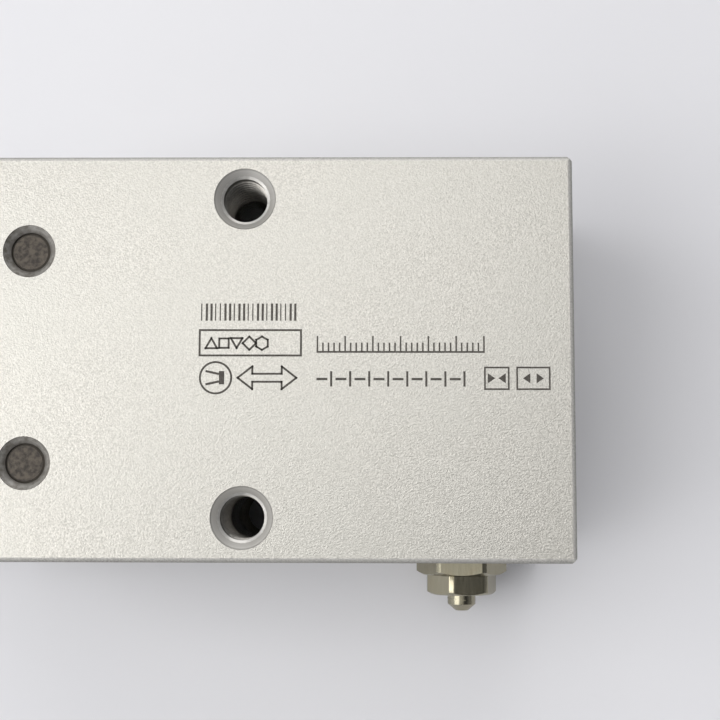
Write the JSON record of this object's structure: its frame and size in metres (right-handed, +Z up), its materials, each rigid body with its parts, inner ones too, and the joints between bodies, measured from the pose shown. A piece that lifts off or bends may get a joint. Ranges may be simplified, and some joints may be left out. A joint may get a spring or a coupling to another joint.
{
  "type": "angular pneumatic gripper",
  "caption": "Compact double-acting angular air gripper: anodised block body, piston inside, and two pivoting fingers with threaded pads at the front.",
  "frame": {"origin": "centre of the pilot recess, in the plane of the rear mounting face, on the piston axis", "axes": "+X out of the rear face along the piston axis, so the fingers point to -X; +Z up, square to the upper broad face; the air ports and the needle valve are on the -Y side and the switch grooves on the +Y side"},
  "size_m": [0.0625, 0.0356, 0.0236],
  "materials": {
    "anodised_body": "bead-blasted and clear hard anodised, satin with a fine grain",
    "cap_metal": "turned and anodised",
    "nitrile_rubber": "smooth moulded",
    "spring_steel": "phosphated, dark matt",
    "urethane": "amber polyurethane, satin",
    "pin_steel": "nitrided, ground, dark satin",
    "ball_steel": "polished ball",
    "plated_brass": "nickel plated, semi-bright",
    "piston_steel": "turned stainless, ground rod",
    "magnet_rubber": "matt ferrite-filled rubber",
    "finger_steel": "hardened, ground on the flats"
  },
  "bodies": {
    "body": {"body_block": "anodised_body", "rear_cap": "cap_metal", "cap_o_ring": "nitrile_rubber", "retaining_ring": "spring_steel", "rear_bumper": "urethane", "front_bumper": "urethane", "rod_seal": "nitrile_rubber", "pivot_pin_upper": "pin_steel", "pivot_pin_lower": "pin_steel", "passage_ball": "ball_steel", "valve_sleeve": "plated_brass", "sleeve_o_ring": "nitrile_rubber", "lock_nut": "plated_brass"},
    "piston": {"piston": "piston_steel", "piston_seal": "nitrile_rubber", "piston_magnet": "magnet_rubber"},
    "upper_finger": {"finger_upper": "finger_steel"},
    "lower_finger": {"finger_lower": "finger_steel"},
    "needle_seal": {"needle_o_ring": "nitrile_rubber"},
    "needle": {"valve_needle": "plated_brass"}
  },
  "joints": [
    {"name": "piston_slide", "type": "slide", "parent": "body", "child": "piston", "axis": [-1, 0, 0], "range_m": [-0.00089, 0.00267]},
    {"name": "upper_finger_swing", "type": "hinge", "parent": "body", "child": "upper_finger", "pos_m": [-0.0411, 0.008, 0], "axis": [0, 0, -1], "range_deg": [-10, 30]},
    {"name": "lower_finger_swing", "type": "hinge", "parent": "body", "child": "lower_finger", "pos_m": [-0.0411, -0.008, 0], "axis": [0, 0, 1], "range_deg": [-10, 30]},
    {"name": "needle_lift", "type": "slide", "parent": "body", "child": "needle_seal", "axis": [0, -1, 0], "range_m": [-0.00045, 0.0009]},
    {"name": "needle_turn", "type": "hinge", "parent": "needle_seal", "child": "needle", "pos_m": [-0.0074, -0.016, -0.007], "axis": [0, -1, 0], "range_deg": [-360, 720]}
  ],
  "couplings": [
    {"joint": "upper_finger_swing", "follows": "piston_slide", "rad_per_m": 196.27},
    {"joint": "lower_finger_swing", "follows": "piston_slide", "rad_per_m": 196.27},
    {"joint": "needle_turn", "follows": "needle_lift", "rad_per_m": 13963}
  ]
}
